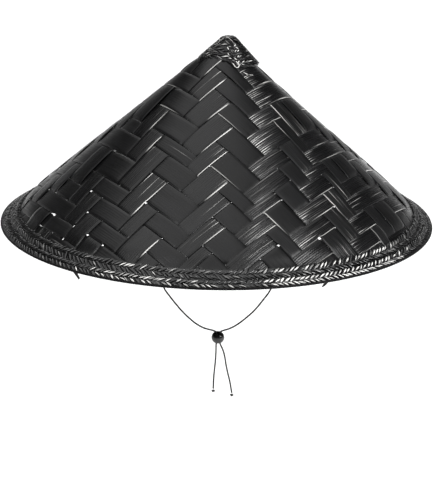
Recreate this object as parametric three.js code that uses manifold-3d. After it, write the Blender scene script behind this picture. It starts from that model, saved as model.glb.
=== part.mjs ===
// A conical hat of plaited bamboo painted black: a woven cone with a braided cap over its peak, two
// rows of braid and a binding round the rim, a head ring inside, and a chin cord with a round bead.
// Millimetres, +Z up, front towards -Y. The origin is the middle of the head ring's lower edge, where
// the hat sits on a head. Left and right are those of someone looking at the front.
import * as THREE from "three";
import { mergeVertices } from "three/addons/utils/BufferGeometryUtils.js";
import Module from "manifold-3d";

// Driving dimensions
const seatHeight = 92; // from the rim plane up to the head ring's lower edge
const peakHeight = 201; // from the rim plane up to where the cone's straight sides would meet
const coneFoot = 232; // radius at which the straight sides would meet the rim plane
const rimRadius = 235;
const flareStart = 207; // radius where the slope begins to ease
const flareRise = 4.2; // how far the ease has lifted the outer face at the rim
const peakLean = 4.8; // the peak stands this far to the right of the rim's middle
const wall = 2; // the two crossed layers of strips
const gap = 0.3;
const turns = 96; // flats round the cone

const shell = { peakRadius: 8, peakRise: 1, stepStart: 213.4, stepEnd: 215, edge: 229.5, sunk: 1.8 };
const braid = { top: 215.4, split: 224.9, thick: 1.5, tip: 1.2 };
const binding = { top: 219, lap: 230.2, lip: 233.6, footIn: 226.5, footOut: 233.9, thick: 1.2 };
const bindingEndRadius = 0.8;
const bindingEnds = [
  { name: "binding_end_left", azimuth: -36.9, top: 232, foot: 225.4, drop: 9 },
  { name: "binding_end_right", azimuth: 28.5, top: 229.5, foot: 222.8, drop: 7.3 },
];

const cap = { thick: 2.2, topRadius: 7.2, topX: 7.8, topHeight: 202.4, crown: 1.2, rings: 6 };
// How far down the slope the cap's braid reaches, going round the peak from the front. It hangs lowest
// on the right, and dips at a corner on the left.
const capEdge = [
  { azimuth: -180, slope: 43 },
  { azimuth: -140, slope: 38.5 },
  { azimuth: -111, slope: 34.5 },
  { azimuth: -90, slope: 35 },
  { azimuth: -75, slope: 36.5 },
  { azimuth: -66, slope: 37.5 },
  { azimuth: -58, slope: 36 },
  { azimuth: -51, slope: 32 },
  { azimuth: -42, slope: 29.3 },
  { azimuth: -28, slope: 28 },
  { azimuth: -8, slope: 30 },
  { azimuth: 12, slope: 33 },
  { azimuth: 20, slope: 36.5 },
  { azimuth: 26, slope: 40 },
  { azimuth: 46, slope: 41.5 },
  { azimuth: 62, slope: 43.2 },
  { azimuth: 80, slope: 46 },
  { azimuth: 99, slope: 49.5 },
  { azimuth: 130, slope: 48.5 },
  { azimuth: 180, slope: 43 },
];

const ring = { radius: 70, wall: 2, holeRadius: 1.3, holeHeight: 9 };
const cord = { diameter: 1.8, sides: 8, stepsLeft: 40, stepsRight: 42 };
const bead = { radius: 7, bore: 2.7, mouth: 4.2, flare: 2.6, centre: [1.3, -74, -202.6] };
const knotRadius = 2.2;

// The cord's two halves, each from its hole in the head ring down the cheek, under the chin, through
// the bead and on to its free end.
const cordLeft = [
  [-69.8, 0, 9], [-67.2, 0, 9], [-64.8, -0.5, 7.8], [-63.4, -1.6, 4.6], [-63.2, -3.6, -2],
  [-64.6, -9, -20], [-66.8, -17, -44], [-68, -24, -72], [-67.2, -29, -100], [-64.2, -32, -132],
  [-62, -33.2, -148], [-58.4, -35.6, -160.5], [-51.9, -40, -168.7], [-43.9, -46, -176.7],
  [-36, -52, -183.6], [-28, -58, -188.9], [-21.2, -63, -192.4], [-14.3, -67.5, -194.4],
  [-8, -71.3, -194.9], [-3.9, -73.5, -195.1], [-1.2, -74, -196.4], [0, -74, -199.4],
  [0.05, -74, -202.6], [-0.1, -74, -207], [-0.5, -74.1, -211], [-0.6, -74.5, -218.7],
  [-1, -75.5, -228.8], [-1.9, -76.5, -238.8], [-2.6, -77.5, -248.7], [-2.9, -78.8, -260.4],
];
const cordRight = [
  [70.2, 0, 9], [67.6, 0, 9], [65.2, -0.5, 7.8], [63.8, -1.6, 4.6], [63.6, -3.6, -2],
  [65.2, -9, -20], [67.8, -17, -44], [69.8, -24, -72], [69.4, -29, -100], [66, -32.5, -131],
  [63, -34, -148], [57.8, -36.5, -160.7], [50.1, -42, -170.4], [40.6, -49, -180.2],
  [30.8, -56, -187.2], [24.2, -61, -190.8], [17.4, -66, -193.5], [10.9, -70.4, -194.8],
  [6.7, -73.3, -195.1], [3.8, -74, -196.4], [2.6, -74, -199.4], [2.55, -74, -202.6],
  [2.75, -74, -207], [4.2, -74.1, -211], [6.7, -74.4, -216.6], [8.8, -75, -223.6],
  [10.5, -76, -233.5], [12.5, -77, -242.5], [14.5, -77.8, -250.4], [17.2, -79.2, -264.8],
];

const finish = {
  strip: { color: 0x2b2b2c, roughness: 0.45, metalness: 0 },
  straw: { color: 0x232324, roughness: 0.5, metalness: 0 },
  cord: { color: 0x141414, roughness: 0.7, metalness: 0 },
  bead: { color: 0x0b0b0c, roughness: 0.15, metalness: 0 },
};

const wasm = await Module();
wasm.setup();

const coneSlope = Math.atan2(peakHeight, coneFoot);
const radians = THREE.MathUtils.degToRad;

function solidOf(geometry) {
  const bare = geometry.index ? geometry.clone() : geometry;
  bare.deleteAttribute("normal");
  bare.deleteAttribute("uv");
  const merged = mergeVertices(bare, 1e-4);
  return new wasm.Manifold(
    new wasm.Mesh({
      numProp: 3,
      vertProperties: merged.attributes.position.array,
      triVerts: new Uint32Array(merged.index.array),
    }),
  );
}

function geometryOf(solid) {
  const mesh = solid.getMesh();
  return new THREE.BufferGeometry()
    .setAttribute("position", new THREE.BufferAttribute(mesh.vertProperties, 3))
    .setIndex(new THREE.BufferAttribute(mesh.triVerts, 1));
}

// A point of the crown's outer face at a radius, moved out along its normal by lift. The braid round
// the rim eases the slope a little.
function crownFace(radius, lift = 0) {
  const ease = Math.max(0, (radius - flareStart) / (rimRadius - flareStart));
  const height = peakHeight * (1 - radius / coneFoot) + flareRise * ease * ease - seatHeight;
  const steepness = peakHeight / coneFoot - (2 * flareRise * ease) / (rimRadius - flareStart);
  const tilt = Math.atan(steepness);
  return new THREE.Vector2(radius + lift * Math.sin(tilt), height + lift * Math.cos(tilt));
}

// The whole crown leans to the right in proportion to its height.
function leaned(geometry) {
  const place = geometry.attributes.position;
  for (let i = 0; i < place.count; i++) {
    place.setX(i, place.getX(i) + (peakLean / peakHeight) * place.getZ(i));
  }
  return geometry;
}

// A profile of radius and height turned about the hat's axis. It runs outward over the top and back
// underneath, and is closed unless it starts on the axis.
function turned(profile, flats = turns) {
  const line = profile[0].x === 0 ? [...profile] : [...profile, profile[0]];
  return new THREE.LatheGeometry(line.reverse(), flats).rotateX(Math.PI / 2);
}

// A row of faces down the slope: the outer line at one lift and the inner line at another.
function band(radii, outerLift, innerLift) {
  const outer = radii.map((radius) => crownFace(radius, outerLift));
  const inner = radii.map((radius) => crownFace(radius, innerLift)).reverse();
  return [...outer, ...inner];
}

function wovenCone() {
  const { peakRadius, peakRise, stepStart, stepEnd, edge, sunk } = shell;
  const lines = [
    { radius: peakRadius, lift: 0 },
    { radius: stepStart, lift: 0 },
    { radius: stepEnd, lift: -sunk },
    { radius: (stepEnd + edge) / 2, lift: -sunk },
    { radius: edge, lift: -sunk },
  ];
  const outer = lines.map(({ radius, lift }) => crownFace(radius, lift));
  const inner = lines.map(({ radius, lift }) => crownFace(radius, lift - wall)).reverse();
  const peakOut = new THREE.Vector2(0, outer[0].y + peakRise);
  const peakIn = new THREE.Vector2(0, inner.at(-1).y + peakRise);
  return leaned(turned([peakOut, ...outer, ...inner, peakIn]));
}

function rimRowUpper() {
  const { top, split, thick } = braid;
  return leaned(turned(band([top, (top + split) / 2, split], 0, -thick)));
}

function rimRowLower() {
  const { split, thick, tip } = braid;
  const start = split + gap;
  const outer = [start, (start + rimRadius) / 2, rimRadius - 0.7].map((radius) => crownFace(radius));
  const edge = new THREE.Vector2(rimRadius, tip - seatHeight);
  const inner = [rimRadius - 0.4, (start + rimRadius) / 2, start].map((radius) => crownFace(radius, -thick));
  return leaned(turned([...outer, edge, ...inner]));
}

function edgeBinding() {
  const { top, lap, lip, footIn, footOut, thick } = binding;
  const under = -(shell.sunk + wall + gap);
  const profile = [
    crownFace(top, under),
    crownFace((top + lap) / 2, under),
    crownFace(lap, under),
    crownFace(lip - 2, -(braid.thick + gap + 0.05)),
    crownFace(lip, -(braid.thick + gap + 0.05)),
    new THREE.Vector2(footOut, -seatHeight),
    new THREE.Vector2(footIn, -seatHeight),
    crownFace(top, under - thick),
  ];
  return leaned(turned(profile));
}

// A trimmed strip end of the binding that hangs just below the rim.
function bindingEnd({ azimuth, top, foot, drop }) {
  const radius = bindingEndRadius;
  const from = new THREE.Vector3(0, -top, -seatHeight - gap);
  const to = new THREE.Vector3(0, -foot, -seatHeight - gap - drop);
  const along = to.clone().sub(from);
  // The upper end is cut level, so it meets the binding's flat foot face to face.
  const piece = new THREE.CylinderGeometry(radius, radius * 0.7, 1, 8).translate(0, -0.5, 0).rotateX(Math.PI / 2);
  const slant = new THREE.Matrix4().makeBasis(
    new THREE.Vector3(1, 0, 0),
    new THREE.Vector3(0, 1, 0),
    along.clone().negate(),
  );
  return leaned(
    piece.applyMatrix4(slant).translate(from.x, from.y, from.z).rotateZ(radians(azimuth)),
  );
}

// The cap's reach down the slope at an azimuth, from the rows of capEdge.
function capReach(azimuth) {
  const next = capEdge.findIndex((row) => row.azimuth >= azimuth);
  const after = capEdge[Math.max(next, 1)];
  const before = capEdge[Math.max(next, 1) - 1];
  const share = (azimuth - before.azimuth) / (after.azimuth - before.azimuth);
  return THREE.MathUtils.lerp(before.slope, after.slope, share);
}

// The cap is turned as a plain disc of unit size, upper face at +1 and lower face at -1, and then
// each of its points is moved to its place between the peak and the cap's edge.
function peakCap() {
  const steps = Array.from({ length: cap.rings + 1 }, (_, i) => i / cap.rings);
  const upper = steps.map((share) => new THREE.Vector2(share, 1));
  const lower = steps.map((share) => new THREE.Vector2(share, -1)).reverse();
  const disc = turned([...upper, ...lower]);
  const place = disc.attributes.position;
  for (let i = 0; i < place.count; i++) {
    const x = place.getX(i);
    const y = place.getY(i);
    const share = Math.round(Math.hypot(x, y) * cap.rings) / cap.rings;
    const azimuth = Math.atan2(x, -y);
    const reach = capReach(THREE.MathUtils.radToDeg(azimuth)) * Math.cos(coneSlope);
    const spot = place.getZ(i) > 0 ? capUpper(share, azimuth, reach) : capLower(share, azimuth, reach);
    place.setXYZ(i, spot.x, spot.y, spot.z);
  }
  return disc;
}

// Where a share of the way from the cap's middle to its edge lies on its outside: a flat top, then a
// side that bows out a little on its way to the edge.
function capUpper(share, azimuth, reach) {
  const top = 1 / cap.rings;
  const edge = crownFace(reach, cap.thick);
  const foot = spotAt(edge.x, azimuth, edge.y);
  const brow = new THREE.Vector3(
    cap.topX + cap.topRadius * Math.sin(azimuth),
    -cap.topRadius * Math.cos(azimuth),
    cap.topHeight - seatHeight - cap.crown,
  );
  if (share <= top) {
    const middle = new THREE.Vector3(cap.topX, 0, cap.topHeight - seatHeight);
    return middle.lerp(brow, share / top);
  }
  const down = (share - top) / (1 - top);
  const spot = brow.lerp(foot, down);
  const bow = cap.crown * Math.sin(Math.PI * down);
  return spot.add(new THREE.Vector3(bow * Math.sin(azimuth), -bow * Math.cos(azimuth), bow * 0.5));
}

// The inside follows the cone's outer face.
function capLower(share, azimuth, reach) {
  const top = 1 / cap.rings;
  if (share < top) return spotAt(0, 0, crownFace(shell.peakRadius, gap).y + shell.peakRise + gap);
  const line = crownFace(THREE.MathUtils.mapLinear(share, top, 1, shell.peakRadius, reach), gap);
  return spotAt(line.x, azimuth, line.y);
}

// A place on the leaning crown from its radius, azimuth and height.
function spotAt(radius, azimuth, height) {
  return new THREE.Vector3(
    radius * Math.sin(azimuth) + (peakLean / peakHeight) * height,
    -radius * Math.cos(azimuth),
    height,
  );
}

function headRing() {
  const { radius, wall: thick, holeRadius, holeHeight } = ring;
  const top = crownFace(radius).y - (wall + gap) / Math.cos(coneSlope);
  const hoop = turned([
    new THREE.Vector2(radius - thick, top),
    new THREE.Vector2(radius, top),
    new THREE.Vector2(radius, 0),
    new THREE.Vector2(radius - thick, 0),
  ]);
  const drill = new THREE.CylinderGeometry(holeRadius, holeRadius, 3 * radius, 16)
    .rotateZ(Math.PI / 2)
    .translate(0, 0, holeHeight);
  return leaned(geometryOf(solidOf(hoop).subtract(solidOf(drill))));
}

// The sections lie closer together where the route's points do.
class CordRoute extends THREE.CatmullRomCurve3 {
  getUtoTmapping(u) {
    return u;
  }
}

function cordTube(points, steps) {
  const route = new CordRoute(points.map((point) => new THREE.Vector3(...point)), false, "centripetal");
  const section = new THREE.Shape(
    Array.from({ length: cord.sides }, (_, i) => {
      const angle = ((i + 0.5) / cord.sides) * 2 * Math.PI;
      return new THREE.Vector2(Math.cos(angle), Math.sin(angle)).multiplyScalar(cord.diameter / 2);
    }),
  );
  return new THREE.ExtrudeGeometry(section, { steps, bevelEnabled: false, extrudePath: route });
}

function cordBead() {
  const { radius, bore, mouth, flare } = bead;
  const lip = Math.acos(mouth / radius);
  const outside = Array.from({ length: 13 }, (_, i) => {
    const angle = lip * (1 - i / 6);
    return new THREE.Vector2(radius * Math.cos(angle), radius * Math.sin(angle));
  });
  const boreEnd = radius * Math.sin(lip) - flare;
  return turned([...outside, new THREE.Vector2(bore, -boreEnd), new THREE.Vector2(bore, boreEnd)], 24);
}

function knot() {
  return new THREE.SphereGeometry(knotRadius, 12, 8).rotateX(Math.PI / 2);
}

const hat = new THREE.Group();

function addPiece(name, geometry, look, place = [0, 0, 0]) {
  const piece = new THREE.Mesh(geometry, new THREE.MeshStandardMaterial(look));
  piece.name = name;
  piece.position.set(...place);
  hat.add(piece);
}

// A knot beyond the end of a cord, in line with its last stretch or beside the head ring.
function knotBeyond(end, direction) {
  const reach = knotRadius + gap;
  return end.map((value, axis) => value + reach * direction[axis]);
}

addPiece("woven_cone", wovenCone(), finish.strip);
addPiece("peak_cap", peakCap(), finish.straw);
addPiece("rim_braid_upper", rimRowUpper(), finish.straw);
addPiece("rim_braid_lower", rimRowLower(), finish.straw);
addPiece("edge_binding", edgeBinding(), finish.straw);
bindingEnds.forEach((end) => addPiece(end.name, bindingEnd(end), finish.strip));
addPiece("head_ring", headRing(), finish.strip);
addPiece("chin_cord_left", cordTube(cordLeft, cord.stepsLeft), finish.cord);
addPiece("chin_cord_right", cordTube(cordRight, cord.stepsRight), finish.cord);
addPiece("cord_bead", cordBead(), finish.bead, bead.centre);
addPiece("ring_knot_left", knot(), finish.cord, knotBeyond(cordLeft[0], [-1, 0, 0]));
addPiece("ring_knot_right", knot(), finish.cord, knotBeyond(cordRight[0], [1, 0, 0]));
addPiece("tail_knot_left", knot(), finish.cord, knotBeyond(cordLeft.at(-1), [0, 0, -1]));
addPiece("tail_knot_right", knot(), finish.cord, knotBeyond(cordRight.at(-1), [0, 0, -1]));

export default hat;
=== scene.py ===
# A wide conical hat of plaited bamboo, painted black, in its worn form. Its crown is woven from flat
# strips in three directions, a plait winds round the peak and two more go round the rim, and a thin
# cord hangs from the ring inside and is gathered by a round bead. Metres, +Z up, front towards -Y.
# Left and right are as seen from the front.
import math
from contextlib import contextmanager

import bpy
import numpy as np
from mathutils import Matrix, Vector


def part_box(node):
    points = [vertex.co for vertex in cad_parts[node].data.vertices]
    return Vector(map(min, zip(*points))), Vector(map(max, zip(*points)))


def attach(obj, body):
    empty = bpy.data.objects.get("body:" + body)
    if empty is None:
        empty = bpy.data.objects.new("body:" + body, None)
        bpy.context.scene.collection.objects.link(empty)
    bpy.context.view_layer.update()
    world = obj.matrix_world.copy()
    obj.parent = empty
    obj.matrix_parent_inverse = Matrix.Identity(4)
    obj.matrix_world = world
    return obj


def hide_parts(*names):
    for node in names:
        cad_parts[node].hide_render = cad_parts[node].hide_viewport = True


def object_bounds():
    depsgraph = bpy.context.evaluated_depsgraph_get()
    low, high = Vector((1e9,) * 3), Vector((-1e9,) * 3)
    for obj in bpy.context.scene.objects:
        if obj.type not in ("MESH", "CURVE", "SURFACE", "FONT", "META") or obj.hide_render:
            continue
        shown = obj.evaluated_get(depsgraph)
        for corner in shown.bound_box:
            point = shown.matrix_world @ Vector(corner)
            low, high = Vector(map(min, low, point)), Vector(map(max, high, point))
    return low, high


bl_info = {
    "name": "Conical Bamboo Hat",
    "version": (1, 0, 0),
    "blender": (4, 5, 0),
    "location": "3D View > Sidebar > Hat",
    "description": "Builds a conical hat of black-painted bamboo strips with its chin cord",
    "category": "Object",
}

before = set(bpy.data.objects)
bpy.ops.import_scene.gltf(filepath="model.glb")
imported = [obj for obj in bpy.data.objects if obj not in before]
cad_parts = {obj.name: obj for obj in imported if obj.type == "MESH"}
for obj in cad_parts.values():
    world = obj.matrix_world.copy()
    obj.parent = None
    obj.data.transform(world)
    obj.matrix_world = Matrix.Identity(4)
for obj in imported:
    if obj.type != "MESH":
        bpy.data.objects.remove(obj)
CAD_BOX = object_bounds()
bpy.ops.object.select_all(action="DESELECT")

MM = 0.001

# The crown's own shape, as the solids have it
RIM_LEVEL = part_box("edge_binding")[0][2]
RIM_RADIUS = (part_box("rim_braid_lower")[1][0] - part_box("rim_braid_lower")[0][0]) / 2
PEAK_HEIGHT = 201 * MM  # from the rim plane up to where the straight sides would meet
CONE_FOOT = 232 * MM  # radius at which they would meet the rim plane
FLARE_START = 207 * MM  # radius from which the slope grows flatter
FLARE_RISE = 4.2 * MM  # how much higher that leaves the rim
LEAN = 4.8 / 201  # sideways for each step up
SLOPE = math.atan2(PEAK_HEIGHT, CONE_FOOT)

# How the strips lie, by the way down the slope
STRIP_START = 8 * MM  # none comes nearer to the peak
STRIP_END = 300 * MM
LOWEST_SEAM = 288  # none starts further down its seam than this, in millimetres
ARCHES_FADE = (288 * MM, 262 * MM)  # where their arches have flattened out, and where they begin to
DIP = (268 * MM, 286 * MM)  # from where to where they dip under the rim's plait
STRIP_DEPTH = 1 * MM  # of their middle layer under the crown's face
SUNK = 1.8 * MM  # how far they dip

# The crown laid flat is three quarters of a disc. Each set of strips crosses its own seam at a right
# angle. The edges are distances down the seam, in millimetres, and drift is how far they part from it
# for each step to the side. Before and after are the sets met on the way round to the left and right.
# Bow is the height of a set's arches against the crown's own, and square how flat-topped they are.
# Spared is the share of its stretches whose lower edges get no pale line, which is worn paint and painted
# highlight.
SPREAD = 0.75
STRIP_SETS = {
    "falling": {
        "seam": -60, "before": "level", "after": "rising",
        "edges": (0, 19.5, 33.5, 54, 74.5, 100, 126, 142, 167, 197, 217, 238, 258, 275, 295, 315),
        "drift": -0.03, "bow": 0.8, "square": 2, "spared": 0.8,
        "finish": {"gloss": 0.36, "specular": 0.2},
    },
    "rising": {
        "seam": 60, "before": "falling", "after": "level",
        "edges": (0, 20.5, 41.5, 66.5, 91, 109, 136, 155, 172.5, 185, 203, 221, 240, 260, 278, 296, 315),
        "drift": 0.0, "bow": 1.0, "square": 2, "spared": 0.35,
        "finish": {"gloss": 0.26, "specular": 0.24, "ribs": 460, "bare": 1.25},
    },
    "level": {
        "seam": 180, "before": "rising", "after": "falling",
        "edges": (0, 28, 50, 75, 102, 124, 147, 170, 193, 216, 239, 262, 285, 310),
        "drift": 0.03, "bow": 2.4, "square": 4, "spared": 0.9,
        "finish": {"gloss": 0.34, "specular": 0.2},
    },
}
# The first strip of a pair lies over the second where the second's number less its own leaves one of
# these when divided by four.
OVER = {("falling", "rising"): (0, 1), ("level", "rising"): (0, 1), ("falling", "level"): (1, 2)}

# Corners of the weave that stand open: the numbers of the rising and the falling strip edges there, and
# how far the edges draw in, in millimetres. Where that is negative they are pressed together.
PINHOLES = (
    (0, 8, 0.8), (1, 10, 0.75), (2, 11, 0.75), (2, 12, 1.3), (0, 12, 1.1), (3, 12, 0.75), (4, 12, 0.75),
    (2, 13, 1.3), (4, 9, 0.75), (0, 10, -0.5), (0, 13, -0.5), (5, 2, 0.8), (11, 3, 0.8), (12, 5, 1.3),
    (11, 7, 0.8),
)

# Lower edges painted pale on the left of the front, as worn paint and as painted highlights where the
# edges catch the
# light: the number of the rising strip, and from where to where along it, in millimetres to the left of
# its seam
RUBBED_AND_GLINTING_EDGES = (
    (0, 21, 44), (0, 102, 126), (1, 39, 81), (1, 129, 148), (2, 57, 82), (3, 75, 114), (3, 166, 210),
    (4, 99, 149), (5, 125, 152), (5, 217, 238), (7, 163, 188),
)
GLINT_CHART_END = 12  # degrees to the right of the front up to which that chart holds

# The rows of the rim's plait: from where to where down the slope, in millimetres, and where their
# strands are painted pale, in degrees: painted highlights where the lights glint on them, right of
# the front and a little on the left. The right patch starts, is whole, fades and ends, and the left
# one has a middle and a reach. Each is so pale in the middle of the row, and so much less in its
# outer strands and more in its inner ones.
RIM_ROWS = {
    "upper": {
        "near": 284.6, "far": 297.4, "seed": 11,
        "right": (8, 20, 42, 74), "right_highlight": (0.5, 0.3), "left": (-24, 16), "left_highlight": (0.32, 0.12),
    },
    "lower": {
        "near": 297.8, "far": 309.6, "seed": 12,
        "right": (8, 16, 40, 70), "right_highlight": (1.2, 0), "left": (-20, 17), "left_highlight": (0.8, 0),
    },
}

# How far the faces of their flat backing, and their strands, lie under the crown's face
ROW_BACKING = (0.9 * MM, 1.5 * MM)
ROW_STRANDS = 0.75 * MM

# How uneven the strands of a plait are: their turn in radians, and the rest as shares of their sizes
UNEVEN = {"turn": 0.15, "length": 0.08, "breadth": 0.15, "shift": 0.1, "height": 0.1}

# The binding's two trimmed ends: azimuth, radius at the rim and at the tip, and drop
BINDING_ENDS = (("left", -36.9, 232, 225.4, 9), ("right", 28.5, 229.5, 222.8, 7.3))

# The cap's edge, at azimuths right round the peak: how far down the slope it reaches and how far it
# stands off the crown there, in millimetres
CAP_EDGE = (
    (-66, 37.5, 0.6), (-58, 36, 0.6), (-51, 32, 0.7), (-42, 29.3, 0.8), (-28, 28, 0.8), (-8, 30, 1),
    (12, 33, 1.3), (20, 36.5, 1.5), (26, 40, 1.7), (46, 41.5, 2.2), (62, 43.2, 3), (80, 46, 3.8),
    (99, 49.5, 4.2), (130, 48.5, 3.6), (180, 43, 1.8), (220, 38.5, 0.8), (249, 34.5, 0.4),
    (270, 35, 0.3), (285, 36.5, 0.5), (294, 37.5, 0.6),
)
# The loose end of its plait, a small loop and two torn scraps: azimuth, way down the slope, and lift
FRAYED_END = (
    ((19, 36, 2.6), (21, 38.5, 2.8), (26, 42.5, 2.3), (32, 40, 2.6), (29, 35, 3)),
    ((36, 48.2, 1), (39, 50.2, 0.8), (42, 51.6, 0.7)),
    ((45, 52.5, 0.7), (51, 54, 0.6)),
)
STRAW = 0.85 * MM  # thickness of one of them
CAP_TOP = Vector((7.8, 0, 109.4)) * MM
CAP_TOP_RADIUS = 7.2 * MM
CAP_ROWS = 8

# The cord's two halves, from the ring through the bead to the free ends, in millimetres
CORD_LEFT = (
    (-69.8, 0, 9), (-67.2, 0, 9), (-64.8, -0.5, 7.8), (-63.4, -1.6, 4.6), (-63.2, -3.6, -2),
    (-64.6, -9, -20), (-66.8, -17, -44), (-68, -24, -72), (-67.2, -29, -100), (-64.2, -32, -132),
    (-62, -33.2, -148), (-58.4, -35.6, -160.5), (-51.9, -40, -168.7), (-43.9, -46, -176.7),
    (-36, -52, -183.6), (-28, -58, -188.9), (-21.2, -63, -192.4), (-14.3, -67.5, -194.4),
    (-8, -71.3, -194.9), (-3.9, -73.5, -195.1), (-1.2, -74, -196.4), (0, -74, -199.4),
    (0.05, -74, -202.6), (-0.1, -74, -207), (-0.5, -74.1, -211), (-0.6, -74.5, -218.7),
    (-1, -75.5, -228.8), (-1.9, -76.5, -238.8), (-2.6, -77.5, -248.7), (-2.9, -78.8, -260.4),
)
CORD_RIGHT = (
    (70.2, 0, 9), (67.6, 0, 9), (65.2, -0.5, 7.8), (63.8, -1.6, 4.6), (63.6, -3.6, -2),
    (65.2, -9, -20), (67.8, -17, -44), (69.8, -24, -72), (69.4, -29, -100), (66, -32.5, -131),
    (63, -34, -148), (57.8, -36.5, -160.7), (50.1, -42, -170.4), (40.6, -49, -180.2),
    (30.8, -56, -187.2), (24.2, -61, -190.8), (17.4, -66, -193.5), (10.9, -70.4, -194.8),
    (6.7, -73.3, -195.1), (3.8, -74, -196.4), (2.6, -74, -199.4), (2.55, -74, -202.6),
    (2.75, -74, -207), (4.2, -74.1, -211), (6.7, -74.4, -216.6), (8.8, -75, -223.6),
    (10.5, -76, -233.5), (12.5, -77, -242.5), (14.5, -77.8, -250.4), (17.2, -79.2, -264.8),
)

PICTURE_SIZE = Vector((435, 495))  # in pixels

# The studio's soft boxes: name, place, target, size and power
LIGHTS = (
    ("key", (1.55, -1.08, 1.13), (0, 0, 0), 0.9, 60),
    ("fill", (-1.1, -1.4, 1.25), (0, 0, 0), 0.6, 14),
    ("backdrop", (0, 7, 4), (0, 6, 0), 4, 180),
)
FLOOR_SIZE = 80
FLOOR_GAP = 0.25  # from the hanging cord down to the floor


# Settings


def length_setting(name, description, millimetres):
    return bpy.props.FloatProperty(
        name=name, description=description, default=millimetres * MM, unit="LENGTH", precision=4
    )


def angle_setting(name, description, degrees):
    return bpy.props.FloatProperty(
        name=name, description=description, default=math.radians(degrees), subtype="ANGLE"
    )


def tint_setting(name, description, values):
    return bpy.props.FloatVectorProperty(
        name=name, description=description, default=values, subtype="COLOR"
    )


class HAT_PG_view(bpy.types.PropertyGroup):
    distance: length_setting("Distance", "From the rim's middle to the camera", 1800)
    elevation: angle_setting("Elevation", "Angle above the horizon", 17.16)
    roll: angle_setting("Roll", "Turn about the line of sight", 0.88)
    focal_pixels: bpy.props.FloatProperty(
        name="Focal Length", description="In pixels of the picture", default=1641
    )
    rim_middle: bpy.props.FloatVectorProperty(
        name="Rim Middle", description="Where the rim's middle falls, in pixels", size=2,
        default=(216.5, 218.6),
    )


class HAT_PG_cord(bpy.types.PropertyGroup):
    diameter: length_setting("Diameter", "Thickness of the chin cord", 1.8)
    knot: length_setting("Knot", "Radius of a stop knot", 2.2)
    bead: length_setting("Bead", "Radius of the bead", 7)
    bore: length_setting("Bore", "Radius of the bead's hole", 2.7)


class HAT_PG_crown(bpy.types.PropertyGroup):
    thickness: length_setting("Thickness", "Of one strip", 0.7)
    gap: length_setting("Gap", "Between neighbouring strips", 0.3)
    rise: length_setting("Rise", "Of a strip's middle where it lies over", 0.45)
    bow: length_setting("Bow", "How far a long over-stretch arches up", 0.5)
    step: length_setting("Step", "Between sections along a strip", 2.2)


class HAT_PG_plait(bpy.types.PropertyGroup):
    strand: length_setting("Rim Strand", "Breadth of a strand of the rim", 3.1)
    cap_strand: length_setting("Cap Strand", "Breadth of a strand of the cap", 1.9)
    cap_row: length_setting("Cap Row", "Width of the plait round the peak", 6.6)
    slant: angle_setting("Slant", "Of the strands to the plait", 35)
    thickness: bpy.props.FloatProperty(
        name="Thickness", description="Of a strand, as a share of its breadth", default=0.45
    )


class HAT_PG_finish(bpy.types.PropertyGroup):
    paint: tint_setting("Paint", "Black paint on the strips", (0.0042, 0.0042, 0.0044))
    # The bare fibre colour paints worn paint and the painted highlights alike.
    bare: tint_setting("Bare Fibre", "Where the paint has worn off", (0.5, 0.495, 0.48))
    cord: tint_setting("Cord", "Black cord", (0.009, 0.009, 0.009))
    floor: tint_setting("Floor", "Pale studio floor", (0.95, 0.95, 0.95))


# The crown's face


def crown_face(slant, lift=0.0):
    """Radius and height of places on the crown, by their way down its straight slope and lift off it."""
    radius = slant * math.cos(SLOPE)
    ease = np.clip((radius - FLARE_START) / (RIM_RADIUS - FLARE_START), 0, None)
    height = RIM_LEVEL + PEAK_HEIGHT - radius * math.tan(SLOPE) + FLARE_RISE * ease**2
    tilt = np.arctan(math.tan(SLOPE) - 2 * FLARE_RISE * ease / (RIM_RADIUS - FLARE_START))
    return radius + lift * np.sin(tilt), height + lift * np.cos(tilt)


def on_crown(azimuth, slant, lift=0.0):
    """Places on the leaning crown. Azimuth is 0 at the front and grows to the right."""
    radius, height = crown_face(slant, lift)
    return np.stack([radius * np.sin(azimuth) + LEAN * height, -radius * np.cos(azimuth), height], axis=-1)


def smoothed(share):
    """0 to 1 with a soft start and a soft end."""
    share = np.clip(share, 0, 1)
    return share * share * (3 - 2 * share)


def step(value, start, end):
    """0 at the start and before it, 1 at the end and past it, and smooth between."""
    return smoothed((value - start) / (end - start))


def patch(value, start, whole, fade, end):
    """1 from whole to fade, and softly down to 0 at the start and the end."""
    return step(value, start, whole) * step(value, end, fade)


# Meshes and objects


def coordinates(mesh):
    flat = np.empty(len(mesh.vertices) * 3, np.float32)
    mesh.vertices.foreach_get("co", flat)
    return flat.reshape(-1, 3).astype(float)


def set_coordinates(mesh, places):
    mesh.vertices.foreach_set("co", places.astype(np.float32).ravel())
    mesh.update()


def set_finish_maps(mesh, flat, wear_and_glint, edge):
    """The piece's own UV in metres along and across its grain, how much worn paint and painted highlight
    it shows as fibre, edge paleness and tone, and how near each vertex lies to the edge or top that is
    painted pale."""
    loops = np.empty(len(mesh.loops), np.int32)
    mesh.loops.foreach_get("vertex_index", loops)
    uv = mesh.uv_layers.new(name="Strip")
    uv.data.foreach_set("uv", flat[loops].astype(np.float32).ravel())
    worn = mesh.attributes.new("wear_and_glint", "FLOAT_VECTOR", "POINT")
    worn.data.foreach_set("vector", wear_and_glint.astype(np.float32).ravel())
    across = mesh.attributes.new("edge", "FLOAT", "POINT")
    across.data.foreach_set("value", edge.astype(np.float32).ravel())


def only_select(*objects):
    bpy.ops.object.select_all(action="DESELECT")
    for each in objects:
        each.select_set(True)
    bpy.context.view_layer.objects.active = objects[0]


def placed(name, data):
    """A new object with this mesh or curve, selected alone."""
    piece = bpy.data.objects.new(name, data)
    bpy.context.scene.collection.objects.link(piece)
    only_select(piece)
    return piece


def mesh_piece(name, vertices, edges, faces):
    mesh = bpy.data.meshes.new(name)
    mesh.from_pydata(vertices, edges, faces)
    return placed(name, mesh)


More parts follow.
